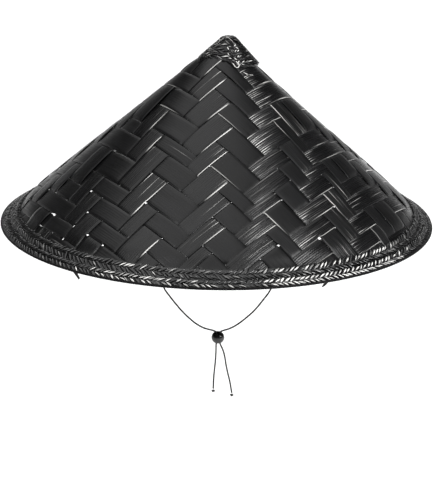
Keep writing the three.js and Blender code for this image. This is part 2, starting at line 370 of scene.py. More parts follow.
@contextmanager
def editing(piece):
    """Edit mode on one piece, with everything in it selected to begin with."""
    only_select(piece)
    bpy.ops.object.mode_set(mode="EDIT")
    bpy.ops.mesh.select_all(action="SELECT")
    yield
    bpy.ops.object.mode_set(mode="OBJECT")


def face_outwards(piece):
    with editing(piece):
        bpy.ops.mesh.normals_make_consistent(inside=False)


def join(objects, name):
    only_select(*objects)
    bpy.ops.object.join()
    joined = bpy.context.object
    joined.name = joined.data.name = name
    return joined


def apply_modifier(piece, kind, **values):
    only_select(piece)
    modifier = piece.modifiers.new(kind.title(), kind)
    for name, value in values.items():
        setattr(modifier, name, value)
    bpy.ops.object.modifier_apply(modifier=modifier.name)


def smooth(piece, degrees=35):
    only_select(piece)
    bpy.ops.object.shade_smooth_by_angle(angle=math.radians(degrees))


def hand_over(piece, material, node):
    """Gives a finished piece its material, hangs it under the root body and hides the CAD node it stands
    in for.
    """
    piece.data.materials.clear()
    piece.data.materials.append(material)
    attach(piece, "root")
    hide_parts(node)


# Materials


class Nodes:
    """Adds nodes to the tree of one material or world and links them by name."""

    def __init__(self, owner):
        owner.use_nodes = True
        self.owner = owner
        self.tree = owner.node_tree
        self.tree.nodes.clear()

    def add(self, kind, settings=None, **inputs):
        node = self.tree.nodes.new(kind)
        for key, value in (settings or {}).items():
            setattr(node, key, value)
        for key, value in inputs.items():
            socket = node.inputs[int(key[1:])] if key[1:].isdigit() else node.inputs[key.replace("_", " ")]
            if isinstance(value, bpy.types.NodeSocket):
                self.tree.links.new(value, socket)
            else:
                socket.default_value = value
        return node

    def math(self, operation, first, second=0.0, third=0.0):
        settings = {"operation": operation}
        return self.add("ShaderNodeMath", settings, i0=first, i1=second, i2=third).outputs[0]

    def ramp(self, value, low, high, out_low=0.0, out_high=1.0):
        """value from low to high, softly, as out_low to out_high."""
        node = self.add(
            "ShaderNodeMapRange", {"interpolation_type": "SMOOTHSTEP"},
            Value=value, From_Min=low, From_Max=high, To_Min=out_low, To_Max=out_high,
        )
        return node.outputs["Result"]

    def place(self):
        return self.add("ShaderNodeTexCoord").outputs["Object"]

    def noise(self, vector, scale, detail=2.0):
        """Fractal noise, with scale the count of its waves to a metre in each direction."""
        stretched = self.add("ShaderNodeMapping", Vector=vector, Scale=scale).outputs[0]
        return self.add("ShaderNodeTexNoise", Vector=stretched, Scale=1.0, Detail=detail).outputs["Fac"]

    def mix(self, share, first, second):
        node = self.add("ShaderNodeMix", {"data_type": "RGBA"}, i0=share, i6=first, i7=second)
        return node.outputs[2]

    def finish(self, height, strength, distance, **shader):
        bump = self.add("ShaderNodeBump", Height=height, Strength=strength, Distance=distance).outputs[0]
        principled = self.add("ShaderNodeBsdfPrincipled", Normal=bump, **shader).outputs[0]
        self.add("ShaderNodeOutputMaterial", Surface=principled)
        return self.owner


def colour(values, share=1.0):
    return (*(share * c for c in values), 1.0)


def bamboo_material(name, ribs=400, gloss=0.4, specular=0.25, bare=1.0):
    """Painted bamboo split along its grain: ribs that are bare on their crests where they are worn, fine
    hairs, and pale lower edges. The bare crests and pale edges are partly worn paint and partly painted
    highlights. ribs is how many there are to a metre across the grain, and bare how pale the bare fibre
    is."""
    finish = bpy.context.scene.hat_finish
    nodes = Nodes(bpy.data.materials.new(name))
    uv = nodes.add("ShaderNodeUVMap", {"uv_map": "Strip"}).outputs[0]
    across = nodes.add("ShaderNodeSeparateXYZ", Vector=uv).outputs[1]
    wear_and_glint = nodes.add("ShaderNodeAttribute", {"attribute_name": "wear_and_glint"}).outputs["Vector"]
    fibre, rub_and_glint, tone = nodes.add("ShaderNodeSeparateXYZ", Vector=wear_and_glint).outputs[:3]
    edge = nodes.add("ShaderNodeAttribute", {"attribute_name": "edge"}).outputs["Fac"]

    hairs = nodes.noise(uv, (25, 3.2 * ribs, 1))
    clouds = nodes.noise(uv, (30, 60, 1))
    chosen = nodes.noise(uv, (9, 0.85 * ribs, 1), 1.0)
    wander = nodes.noise(uv, (12, 0.3 * ribs, 1), 1.0)
    phase = nodes.math("MULTIPLY_ADD", across, math.tau * ribs, nodes.math("MULTIPLY", wander, 10.0))
    rib = nodes.math("MULTIPLY_ADD", nodes.math("SINE", phase), 0.5, 0.5)
    # The higher a place's fibre value, the more of its ribs are bare and pale: worn paint, and painted
    # highlights where that value follows the light.
    level = nodes.math("MULTIPLY_ADD", fibre, -0.34, 0.7)
    worn = nodes.ramp(nodes.math("SUBTRACT", chosen, level), 0.0, 0.22)
    crest = nodes.ramp(nodes.math("MULTIPLY_ADD", hairs, 0.9, rib), 1.16, 1.5)
    worn = nodes.math("POWER", nodes.math("MULTIPLY", worn, crest), 1.7)
    worn = nodes.math("MULTIPLY", worn, nodes.ramp(clouds, 0.35, 0.6, 0.35, 1.15))
    # A pale line along a strip's lower edge or a strand's top: worn paint, and a painted highlight where
    # it catches the light.
    rubbed_and_glinting = nodes.math("MULTIPLY", nodes.ramp(edge, 0.9, 0.96), rub_and_glint)
    rubbed_and_glinting = nodes.math("MULTIPLY", rubbed_and_glinting, nodes.ramp(hairs, 0.3, 0.55))

    depth = nodes.math("MULTIPLY", tone, nodes.ramp(clouds, 0.3, 0.7, 0.6, 1.3))
    paint = nodes.mix(depth, colour(finish.paint, 0.4), colour(finish.paint, 1.6))
    shade = nodes.mix(nodes.math("MAXIMUM", worn, rubbed_and_glinting), paint, colour(finish.bare, bare))
    roughness = nodes.ramp(hairs, 0.3, 0.7, gloss - 0.08, gloss + 0.08)
    grain = nodes.math("MULTIPLY_ADD", rib, 0.35, nodes.math("MULTIPLY", hairs, 0.65))
    relief = nodes.math("MULTIPLY", grain, nodes.math("MULTIPLY_ADD", fibre, 0.7, 0.1))
    return nodes.finish(
        relief, 1.0, 0.8 * MM, Base_Color=shade, Roughness=roughness, Specular_IOR_Level=specular
    )


def cord_material():
    """Black twisted cord with a dull sheen."""
    nodes = Nodes(bpy.data.materials.new("black_cord"))
    fuzz = nodes.noise(nodes.place(), (2600, 2600, 1700), 3.0)
    black = colour(bpy.context.scene.hat_finish.cord)
    shade = nodes.mix(nodes.ramp(fuzz, 0.35, 0.7), black, colour((0.03, 0.028, 0.026)))
    return nodes.finish(fuzz, 0.7, 0.12 * MM, Base_Color=shade, Roughness=0.62)


def bead_material():
    """Polished black bead with the faintest handling marks."""
    nodes = Nodes(bpy.data.materials.new("polished_bead"))
    marks = nodes.noise(nodes.place(), (260, 260, 260), 4.0)
    black = colour((0.004, 0.004, 0.0045))
    shade = nodes.mix(nodes.ramp(marks, 0.3, 0.75), black, colour((0.012, 0.0115, 0.011)))
    roughness = nodes.ramp(marks, 0.35, 0.7, 0.1, 0.2)
    return nodes.finish(
        marks, 0.08, 0.05 * MM, Base_Color=shade, Roughness=roughness, Specular_IOR_Level=0.5
    )


def floor_material():
    """Pale matt floor with a hardly visible mottle."""
    nodes = Nodes(bpy.data.materials.new("studio_floor"))
    mottle = nodes.noise(nodes.place(), (3, 3, 3), 3.0)
    pale = bpy.context.scene.hat_finish.floor
    shade = nodes.mix(mottle, colour(pale), colour(pale, 0.985))
    return nodes.finish(mottle, 0.02, 1 * MM, Base_Color=shade, Roughness=0.9)


# Camera


class HAT_OT_camera(bpy.types.Operator):
    """Set the camera in front of the hat and a little above it"""

    bl_idname = "hat.camera"
    bl_label = "Camera"

    def execute(self, context):
        view = context.scene.hat_view
        middle = Vector((LEAN * RIM_LEVEL, 0, RIM_LEVEL))
        forward = Vector((0, math.cos(view.elevation), -math.sin(view.elevation)))
        upright = Vector((1, 0, 0)).cross(forward)
        roll = Matrix.Rotation(-view.roll, 3, forward)
        side, upright = roll @ Vector((1, 0, 0)), roll @ upright
        # The picture's middle lies below the rim's middle, so the camera is turned down to it.
        right_of = (view.rim_middle[0] - PICTURE_SIZE.x / 2) / view.focal_pixels
        above = (PICTURE_SIZE.y / 2 - view.rim_middle[1]) / view.focal_pixels
        tip = Matrix.Rotation(-math.atan(above), 3, side)
        swing = Matrix.Rotation(math.atan(right_of), 3, upright)
        axes = Matrix((side, upright, -forward)).transposed()
        bpy.ops.object.camera_add(
            location=middle - view.distance * forward, rotation=(tip @ swing @ axes).to_euler()
        )
        camera = context.object
        camera.name = "camera"
        camera.data.sensor_fit = "HORIZONTAL"
        camera.data.lens = camera.data.sensor_width * view.focal_pixels / PICTURE_SIZE.x
        camera.data.clip_start = 0.05
        context.scene.camera = camera
        return {"FINISHED"}


# Cord, knots and bead


def tube(name, points, radius, roundness=3, steps=8, closed=False):
    """A round tube as one spline through its points."""
    curve = bpy.data.curves.new(name, "CURVE")
    curve.dimensions = "3D"
    curve.bevel_depth = radius
    curve.bevel_resolution = roundness
    curve.resolution_u = steps
    curve.use_fill_caps = not closed
    spline = curve.splines.new("BEZIER")
    spline.bezier_points.add(len(points) - 1)
    spline.use_cyclic_u = closed
    for knot, point in zip(spline.bezier_points, points):
        knot.co = point
        knot.handle_left_type = knot.handle_right_type = "AUTO"
    return placed(name, curve)


def middle_of(node):
    low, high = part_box(node)
    return (Vector(low) + Vector(high)) / 2


def knot_piece(name, node, size, diameter):
    """A pulled-tight overhand knot in the same cord, where its node stands."""
    middle = middle_of(node)
    points = []
    count = 18
    width = 5.2  # of the trefoil before it is given its size
    for index in range(count):
        angle = math.tau * index / count
        trefoil = Vector((
            math.sin(angle) + 2 * math.sin(2 * angle),
            math.cos(angle) - 2 * math.cos(2 * angle),
            -1.4 * math.sin(3 * angle),
        ))
        points.append(middle + trefoil * size / width)
    tube(name, points, diameter * 0.42, roundness=2, steps=12, closed=True)
    bpy.ops.object.convert(target="MESH")
    return bpy.context.object


def bead_piece(size, bore):
    """A ball bored through, with a rounded lip at each end of the hole."""
    low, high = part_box("cord_bead")
    bpy.ops.mesh.primitive_uv_sphere_add(segments=48, ring_count=36, radius=size)
    bead = bpy.context.object
    bead.name = bead.data.name = "bead"
    lip = (high[2] - low[2]) / 2
    with editing(bead):
        for side in (-1, 1):
            bpy.ops.mesh.select_all(action="SELECT")
            bpy.ops.mesh.bisect(plane_co=(0, 0, side * lip), plane_no=(0, 0, side), clear_outer=True)
            # The cut edge stays selected, and is drawn in and down to the bore in two steps.
            mouth = math.sqrt(size**2 - lip**2)
            for radius, drop in ((0.5 * (mouth + bore), 0.6 * MM), (bore, 2.6 * MM)):
                narrower = radius / mouth
                bpy.ops.mesh.extrude_edges_move()
                bpy.ops.transform.resize(value=(narrower, narrower, 1), center_override=(0, 0, 0))
                bpy.ops.transform.translate(value=(0, 0, -side * drop))
                mouth = radius
        bpy.ops.mesh.select_all(action="DESELECT")
        bpy.ops.mesh.select_non_manifold()
        bpy.ops.mesh.bridge_edge_loops()
    face_outwards(bead)
    bead.data.transform(Matrix.Translation(middle_of("cord_bead")))
    smooth(bead, 40)
    return bead


class HAT_OT_cords(bpy.types.Operator):
    """Hang the chin cord, with its knots and its bead"""

    bl_idname = "hat.cords"
    bl_label = "Chin Cord"

    def execute(self, context):
        cord = context.scene.hat_cord
        black = cord_material()
        bead = bead_piece(cord.bead, cord.bore)
        hand_over(bead, bead_material(), "cord_bead")
        for side, points in (("left", CORD_LEFT), ("right", CORD_RIGHT)):
            for place in ("ring_knot", "tail_knot"):
                knot = knot_piece(f"{place}_{side}_tied", f"{place}_{side}", cord.knot, cord.diameter)
                hand_over(knot, black, f"{place}_{side}")
                smooth(knot)
            points = np.array(points) * MM
            piece = tube(f"cord_{side}", points, cord.diameter / 2)
            hand_over(piece, black, f"chin_cord_{side}")
        return {"FINISHED"}


# Crown


def crossings(name, number, distance):
    """Where a strip, distance down its seam, meets the strips that cross it: the bounds of the crossings
    along it, in order, and for each whether the strip lies over there."""
    own = STRIP_SETS[name]
    sides = []
    for key in ("before", "after"):
        other = own[key]
        edges = np.array(STRIP_SETS[other]["edges"][1:]) * MM + STRIP_SETS[other]["drift"] * distance
        numbers = np.arange(len(edges))
        if (name, other) in OVER:
            lies_over = np.isin((numbers - number) % 4, OVER[name, other])
        else:
            lies_over = ~np.isin((number - numbers) % 4, OVER[other, name])
        sides.append((edges, lies_over))
    (left, left_over), (right, right_over) = sides
    return np.concatenate([-left[::-1], [0.0], right]), np.concatenate([left_over[::-1], right_over])


def stretches(bounds, over):
    """Neighbouring crossings that lie the same way are one stretch: for each crossing, its stretch's
    number, start and end."""
    number = np.concatenate([[0], np.cumsum(over[1:] != over[:-1])])
    start = np.array([bounds[:-1][number == n].min() for n in number])
    end = np.array([bounds[1:][number == n].max() for n in number])
    return number, start, end


def open_pinholes(name, number, along, across, half, middle):
    """Draws a strip's edges in round the open corners of the weave."""
    if name == "level":
        return across
    reach = 3 * MM
    side, other = (-1, "falling") if name == "rising" else (1, "rising")
    drawn = 0 * across
    for rising, falling, amount in PINHOLES:
        own_edge, other_edge = (rising, falling) if name == "rising" else (falling, rising)
        if own_edge not in (number, number + 1):
            continue
        met = STRIP_SETS[other]["edges"][other_edge] * MM + STRIP_SETS[other]["drift"] * middle
        near_it = np.exp(-(((along - side * met) / reach) ** 2))
        this_edge = across > 0 if own_edge == number + 1 else across < 0
        drawn += amount * MM * near_it * this_edge
    return across - np.sign(across) * drawn * (np.abs(across) / half) ** 4


def flat_strip(length, width, crown):
    """A straight strip with softened edges, lying along X."""
    sections = max(8, round(length / crown.step))
    bpy.ops.mesh.primitive_grid_add(x_subdivisions=sections, y_subdivisions=6, size=1)
    strip = bpy.context.object
    strip.data.transform(Matrix.Diagonal((length, width, 1, 1)))
    apply_modifier(strip, "SOLIDIFY", thickness=crown.thickness, offset=0)
    apply_modifier(strip, "BEVEL", width=0.22 * MM, segments=1, limit_method="ANGLE")
    return strip


def charted_edge_glint(number, place):
    """How pale the charted lower edges are painted, as worn paint and painted highlight, at places along a
    rising strip.
    """
    left = -place / MM
    rub_and_glint = 0 * left
    for strip, near, far in RUBBED_AND_GLINTING_EDGES:
        if strip == number:
            rub_and_glint += patch(left, near - 2, near + 2, far - 5, far + 5)
    return rub_and_glint


def wear_and_glint_of(name, number, stretch, place, share, azimuth, chance):
    """How pale one stretch of a strip is painted: how far bare fibre shows, how pale its lower edge is,
    and its tone.
    Part of that is worn paint and part is painted highlight: the strips that rise to the right get the
    most pale fibre right of the middle of the front, where their ribs catch the key light."""
    degrees = np.degrees(azimuth)
    upper = np.where(place < 0, share, 1 - share)
    if name == "rising":
        # The patches that follow the azimuth are painted highlights: pale fibre where the strips' ribs
        # catch the light.
        left_patch = 0.2 * patch(degrees, -24, -10, 10, 30)
        right_patch = 0.52 * patch(degrees, 2, 12, 34, 64)
        fibre = 0.32 + np.maximum(left_patch, right_patch)
        # Painted highlight: on the left a stretch is paler towards its upper end, and on the right towards
        # its lower one, where the light glints on it.
        turned = step(degrees, 4, 16)
        fibre *= 0.55 + 0.7 * (upper + turned * (1 - 2 * upper)) ** 2
    elif name == "falling":
        # Painted highlights on the falling strips' ribs, right of the front.
        fibre = 0.1 + 0.42 * patch(degrees, 26, 40, 80, 100)
    else:
        fibre = 0.1 + 0 * place
    fibre = fibre * (0.6 + 0.7 * chance[0][stretch])
    # Some lower edges get a pale line, worn paint and painted highlight, strongest towards the stretch's
    # upper end.
    rubbed_and_glinting = chance[1][stretch] > STRIP_SETS[name]["spared"]
    rub_and_glint = np.where(rubbed_and_glinting, 0.4 + 0.6 * chance[2][stretch], 0.0) * smoothed(1.3 * upper)
    if name == "rising":
        rub_and_glint = np.where(degrees < GLINT_CHART_END, charted_edge_glint(number, place), rub_and_glint)
    tone = 0.3 + 0.5 * chance[3][stretch]
    return fibre, rub_and_glint, tone


def wrap_strip(strip, name, number, crown):
    """Lays a flat strip over the crown, over and under the strips that cross it."""
    own = STRIP_SETS[name]
    near, far = (np.array(own["edges"][number:number + 2])) * MM
    middle = (near + far) / 2
    along, across, depth = coordinates(strip.data).T
    half = (far - near - crown.gap) / 2
    bounds, over = crossings(name, number, middle)
    stretch, start, end = stretches(bounds, over)
    cell = np.clip(np.searchsorted(bounds, along) - 1, 0, len(over) - 1)
    seed = 100 * list(STRIP_SETS).index(name) + number
    chance = np.random.default_rng(seed).random((6, 40))

    # Height: up and down softly from stretch to stretch, with a low arch on the stretches that lie over
    turn = 2.2 * MM
    at = np.repeat(bounds[1:-1], 2) + np.tile([-turn, turn], len(bounds) - 2)
    level = np.repeat(np.where(over, 1.0, -1.0), 2)[1:-1]
    ramp = np.interp(along, at, level)
    share = np.clip((along - start[cell]) / (end[cell] - start[cell]), 0, 1)
    arch = (1 - np.abs(2 * share - 1) ** own["square"]) * over[cell]
    tilt = (chance[4][stretch[cell]] - 0.3) * 0.25 * MM * across / half

    # The edges waver a little, slowly and quickly.
    slow = 0.25 * MM * np.sin(along / (31 * MM) + math.tau * chance[5][0])
    quick = 0.12 * MM * np.sin(along / (9 * MM) + number)
    shown = open_pinholes(name, number, along, across, half, middle)
    down = middle + own["drift"] * np.abs(along) + shown + (slow + quick)
    slant = np.maximum(np.hypot(along, down), STRIP_START)
    azimuth = math.radians(own["seam"]) + np.sign(along) * np.arctan2(np.abs(along), down) / SPREAD
    # The arches flatten out towards the rim, and the strips dip under its plait.
    bow = crown.bow * own["bow"] * step(slant, *ARCHES_FADE)
    lift = -STRIP_DEPTH + crown.rise * ramp * (1.5 - 0.5 * ramp**2) + bow * arch + tilt + depth
    lift = lift - SUNK * step(slant, *DIP)
    set_coordinates(strip.data, on_crown(azimuth, slant, lift))

    fibre, rub_and_glint, tone = wear_and_glint_of(name, number, stretch[cell], along, share, azimuth, chance)
    wear_and_glint = np.stack([fibre, rub_and_glint * over[cell], tone], axis=-1)
    # Each strip takes its own stretch of the pattern.
    flat = np.stack([along + 0.37 * number, across], axis=-1)
    set_finish_maps(strip.data, flat, wear_and_glint, across / half)


class HAT_OT_crown(bpy.types.Operator):
    """Weave the crown from its three sets of strips"""

    bl_idname = "hat.crown"
    bl_label = "Woven Crown"

    def execute(self, context):
        crown = context.scene.hat_crown
        cut = float(crown_face(np.array(STRIP_END), -SUNK - STRIP_DEPTH)[1])
        spare = 4 * MM
        for name, own in STRIP_SETS.items():
            strips = []
            for number, (near, far) in enumerate(zip(own["edges"], own["edges"][1:])):
                if near > LOWEST_SEAM:
                    break
                reach = math.sqrt((STRIP_END + spare) ** 2 - (near * MM) ** 2)
                strip = flat_strip(2 * reach, (far - near) * MM - crown.gap, crown)
                wrap_strip(strip, name, number, crown)
                strips.append(strip)
            woven = join(strips, f"strips_{name}")
            with editing(woven):
                bpy.ops.mesh.bisect(
                    plane_co=(0, 0, cut), plane_no=(0, 0, -1), clear_outer=True, use_fill=True
                )
            smooth(woven, 50)
            bamboo = bamboo_material(f"painted_strips_{name}", **own["finish"])
            hand_over(woven, bamboo, "woven_cone")
        return {"FINISHED"}


# Plaits of the rim and the cap


def spun(name, profile, steps=192):
    """A closed profile of (radius, height) spun about the upright axis, leaning as the crown does."""
    count = len(profile)
    edges = [(i, (i + 1) % count) for i in range(count)]
    piece = mesh_piece(name, [(radius, 0, height) for radius, height in profile], edges, [])
    with editing(piece):
        bpy.ops.mesh.spin(steps=steps, angle=math.tau, center=(0, 0, 0), axis=(0, 0, 1))
        bpy.ops.mesh.select_all(action="SELECT")
        bpy.ops.mesh.remove_doubles(threshold=1e-6)
        bpy.ops.mesh.normals_make_consistent(inside=False)
    places = coordinates(piece.data)
    places[:, 0] += LEAN * places[:, 2]
    set_coordinates(piece.data, places)
    return piece


def ring_maps(piece, tone, worn=0.1, rub_and_glint=0.0):
    """Finish maps for a piece whose fibres run round the hat."""
    places = coordinates(piece.data)
    azimuth = np.arctan2(places[:, 0], -places[:, 1])
    radius = np.hypot(places[:, 0], places[:, 1])
    flat = np.stack([azimuth * radius.mean(), radius + places[:, 2]], axis=-1)
    wear_and_glint = np.tile([worn, rub_and_glint, tone], (len(places), 1))
    set_finish_maps(piece.data, flat, wear_and_glint, np.full(len(places), rub_and_glint))


def grain():
    """One strand of a plait where it comes to the top: a flattened grain along X, of unit half-sizes."""
    bpy.ops.mesh.primitive_uv_sphere_add(segments=8, ring_count=8, radius=1, rotation=(0, math.pi / 2, 0))
    shape = bpy.context.object
    bpy.ops.object.transform_apply(location=False, rotation=True, scale=False)
    places = coordinates(shape.data)
    faces = [tuple(face.vertices) for face in shape.data.polygons]
    bpy.data.objects.remove(shape)
    # Blunter than a ball along its length, so the strand keeps its width until near its ends
    places[:, 0] = np.sign(places[:, 0]) * np.abs(places[:, 0]) ** 1.5
    return places, faces


def plait(name, rows, width, strand, seed, glint, slant):
    """A flat plait as two columns of slanting strands that part to the right. Each row gives the azimuth,
    the distance down and the radius of every strand pair, and place, which puts azimuths, distances and
    lifts on the surface. glint gives the share of strands painted pale at an azimuth and a column, as
    painted highlights over a little worn paint, and slant the strands' angle to the row at an azimuth."""
    thickness = bpy.context.scene.hat_plait.thickness * strand
    shape, faces = grain()
    chance = np.random.default_rng(seed)
    vertices, uvs, wear_and_glint_lists, edges = [], [], [], []
    for azimuths, downs, radii, place in rows:
        count = len(azimuths)

        def uneven(kind):
            return chance.normal(0, UNEVEN[kind], (count, 1))

        for column in (-1, 1):
            # The strands reach a little past the row's middle and lie close.
            angle = slant(azimuths)[:, None]
            half_length = 0.5 * (width / 2) / np.sin(angle) + 0.09 * width
            half_width = 0.54 * strand
            pitch = strand / np.sin(angle)
            turn = column * angle + uneven("turn")
            x = shape[:, 0] * half_length * (1 + uneven("length"))
            y = shape[:, 1] * half_width * (1 + uneven("breadth"))
            shift = pitch * (uneven("shift") + 0.25 * column)
            along = x * np.cos(turn) - y * np.sin(turn) + shift
            across = x * np.sin(turn) + y * np.cos(turn) + column * width * 0.235
            lift = thickness * (0.5 * shape[:, 2] + 0.3 - 0.55 * shape[:, 0] ** 2 + uneven("height"))
            spots = place(azimuths[:, None] + along / radii[:, None], downs[:, None] + across, lift)
            vertices.append(spots.reshape(-1, 3))
            offset = chance.random((count, 1))
            uvs.append(np.stack([x + offset, y + 0 * x], axis=-1).reshape(-1, 2))
            # Strands chosen by glint are painted pale: painted highlights, over a little worn paint.
            bare = smoothed(2.2 * (glint(azimuths, column) - chance.random(count)))
            tone = 0.2 + 0.6 * chance.random(count)
            wear_and_glint = np.stack([0.4 * bare, bare, tone], axis=-1)
            wear_and_glint_lists.append(np.repeat(wear_and_glint, len(shape), axis=0))
            # A strand is painted pale along its top: a painted highlight on its crest.
            edges.append(np.tile(1.14 * (shape[:, 2] + 0.35 * shape[:, 0] ** 2), count))
    vertices = np.concatenate(vertices)
    starts = range(0, len(vertices), len(shape))
    all_faces = [tuple(v + start for v in face) for start in starts for face in faces]
    piece = mesh_piece(name, vertices.tolist(), [], all_faces)
    set_finish_maps(piece.data, np.concatenate(uvs), np.concatenate(wear_and_glint_lists), np.concatenate(edges))
    bpy.ops.object.shade_smooth()
    return piece


def rim_row(name, row):
    """One row of the rim's plait on its flat backing."""
    settings = bpy.context.scene.hat_plait
    near, far = row["near"] * MM, row["far"] * MM
    middle = (near + far) / 2
    slants = np.array([near, middle, far])
    outer, inner = (np.stack(crown_face(slants, -depth), axis=-1) for depth in ROW_BACKING)
    backing = spun(f"{name}_backing", [tuple(p) for p in (*outer, *inner[::-1])])
    ring_maps(backing, 0.25)

    def on_rim(azimuth, slant, lift):
        return on_crown(azimuth, slant, lift - ROW_STRANDS)

    def even_slant(azimuth):
        return settings.slant + 0 * azimuth

    def glint(azimuth, column):
        turn = np.degrees(np.angle(np.exp(1j * azimuth)))
        left_middle, left_reach = row["left"]
        right = patch(turn, *row["right"])
        left = np.exp(-(((turn - left_middle) / left_reach) ** 2))
        # Painted highlights: strands painted pale where the lights glint on them, over an even share of
        # worn ones.
        bare = 0.15
        for where, (in_middle, less) in ((right, row["right_highlight"]), (left, row["left_highlight"])):
            bare = bare + (in_middle - less * column) * where
        return bare

    radius = middle * math.cos(SLOPE)
    count = round(math.tau * radius * math.sin(settings.slant) / settings.strand)
    azimuths = (np.arange(count) + 0.5) * math.tau / count
    pairs = (azimuths, np.full(count, middle), np.full(count, radius), on_rim)
    strands = plait(name, [pairs], far - near, settings.strand, row["seed"], glint, even_slant)
    return join([strands, backing], name)


class HAT_OT_rim(bpy.types.Operator):
    """Plait the two rows of the rim and bind its edge"""

    bl_idname = "hat.rim"
    bl_label = "Rim"

    def execute(self, context):
        straw = bamboo_material("painted_straw", ribs=550, gloss=0.24, specular=0.42, bare=1.5)
        for name, row in RIM_ROWS.items():
            hand_over(rim_row(f"rim_row_{name}", row), straw, f"rim_braid_{name}")
        bind_edge(bamboo_material("painted_binding", ribs=700, gloss=0.5, specular=0.08))
        return {"FINISHED"}


def bind_edge(bamboo):
    """The flat hoop under the rim's edge, the round cane along it, and the two trimmed ends."""
    under = -4.1 * MM
    # The hoop's profile: down under the crown, round the foot, and back up inside
    slants = np.array([219, 224.6, 230.2, 231.6]) * MM / math.cos(SLOPE)
    lifts = np.array([under, under, under, -1.9 * MM])
    outer = list(zip(*crown_face(slants, lifts)))
    foot = [(233.2 * MM, RIM_LEVEL + 0.9 * MM), (232.6 * MM, RIM_LEVEL), (226.5 * MM, RIM_LEVEL)]
    inner = [tuple(float(c) for c in crown_face(slants[0], under - 1.2 * MM))]
    hoop = spun("binding_hoop", [*outer, *foot, *inner])
    ring_maps(hoop, 0.4)
    cane_radius = 1.25 * MM
    inset = 1.3 * MM  # of the cane's middle from the rim's foot
    round_it = [
        (RIM_RADIUS - inset + cane_radius * math.cos(t), RIM_LEVEL + inset + cane_radius * math.sin(t))
        for t in np.arange(10) * math.tau / 10
    ]
    cane = spun("binding_cane", round_it, 288)
    ring_maps(cane, 0.3)
    binding = join([hoop, cane], "edge_hoop")
    smooth(binding, 40)
    hand_over(binding, bamboo, "edge_binding")
    for side, azimuth, top, tip, drop in BINDING_ENDS:
        end = trimmed_end(side, math.radians(azimuth), top * MM, tip * MM, drop * MM)
        hand_over(end, bamboo, f"binding_end_{side}")


def trimmed_end(side, azimuth, top, tip, drop):
    """The cut end of a strip of the binding, slanting in and down from the rim to a skew cut."""
    breadth = 3.4 * MM
    thickness = 1.7 * MM
    outward = np.array([math.sin(azimuth), -math.cos(azimuth), 0])
    level = RIM_LEVEL - 0.3 * MM
    lean = np.array([LEAN * level, 0, level])
    start = top * outward + lean
    along = tip * outward + lean - np.array([0, 0, drop]) - start
    bpy.ops.mesh.primitive_cube_add(size=1)
    end = bpy.context.object
    end.name = end.data.name = f"trimmed_end_{side}"
    shape = coordinates(end.data) + np.array([0, 0, 0.5])
    narrowed = 1 - 0.3 * shape[:, 2]
    broad = np.array([math.cos(azimuth), math.sin(azimuth), 0])
    thin = np.cross(broad, along / np.linalg.norm(along))
    skew = shape[:, 2] * (1 - 0.25 * shape[:, 0])
    places = (
        start
        + np.outer(skew, along)
        + np.outer(breadth * shape[:, 0] * narrowed, broad)
        + np.outer(thickness * shape[:, 1] * narrowed, thin)
    )
    set_coordinates(end.data, places)
    apply_modifier(end, "BEVEL", width=0.25 * MM, segments=2, limit_method="ANGLE")
    face_outwards(end)
    places = coordinates(end.data)
    flat = np.stack([places[:, 2], places @ broad], axis=-1)
    set_finish_maps(end.data, flat, np.tile([0.0, 0.0, 0.1], (len(places), 1)), np.zeros(len(places)))
    smooth(end, 40)
    return end


# Cap


def cap_edge(azimuth):
    """The cap edge's way down the slope and its lift off the crown."""
    steps, reach, lift = np.array(CAP_EDGE).T
    degrees = (np.degrees(azimuth) - steps[0]) % 360 + steps[0]
    return np.interp(degrees, steps, reach) * MM, np.interp(degrees, steps, lift) * MM


def cap_face(azimuth, up):
    """Places on the cap's face: up from its edge to the round of its top, then in to its middle."""
    foot = on_crown(azimuth, *cap_edge(azimuth))
    brow = np.stack([
        CAP_TOP.x + CAP_TOP_RADIUS * np.sin(azimuth), -CAP_TOP_RADIUS * np.cos(azimuth),
        CAP_TOP.z + 0 * azimuth,
    ], axis=-1)
    length = np.linalg.norm(brow - foot, axis=-1)
    share = (up / length)[..., None]
    past = np.clip(share - 1, 0, None) * length[..., None]
    centre = np.array(CAP_TOP) + np.array([0, 0, 1 * MM])
    spot = foot + np.clip(share, None, 1) * (brow - foot)
    return spot + (centre - brow) * np.clip(past / CAP_TOP_RADIUS, 0, 1)


def cap_place(azimuth, up, lift):
    """Places on the cap by their azimuth and their way up from its edge, off its face by lift."""
    azimuth, up = np.broadcast_arrays(azimuth, up)
    spot = cap_face(azimuth, up)
    round_way = cap_face(azimuth + 0.01, up) - spot
    up_way = cap_face(azimuth, up + 0.2 * MM) - spot
    normal = np.cross(round_way, up_way)
    normal /= np.maximum(np.linalg.norm(normal, axis=-1, keepdims=True), 1e-9)
    return spot + normal * np.broadcast_to(lift, azimuth.shape)[..., None]


def cap_slant(azimuth):
    """Almost along the rows, but crossing them steeply right of the middle of the front."""
    return math.radians(17) + math.radians(27) * patch(np.degrees(azimuth), 2, 14, 36, 52)


def cap_glint(azimuth, column):
    """The share of the cap's strands painted pale, as worn paint and painted highlights; fewer on the
    right.
    """
    return 0.55 + 0.1 * column - 0.35 * step(np.degrees(azimuth), 42, 58)


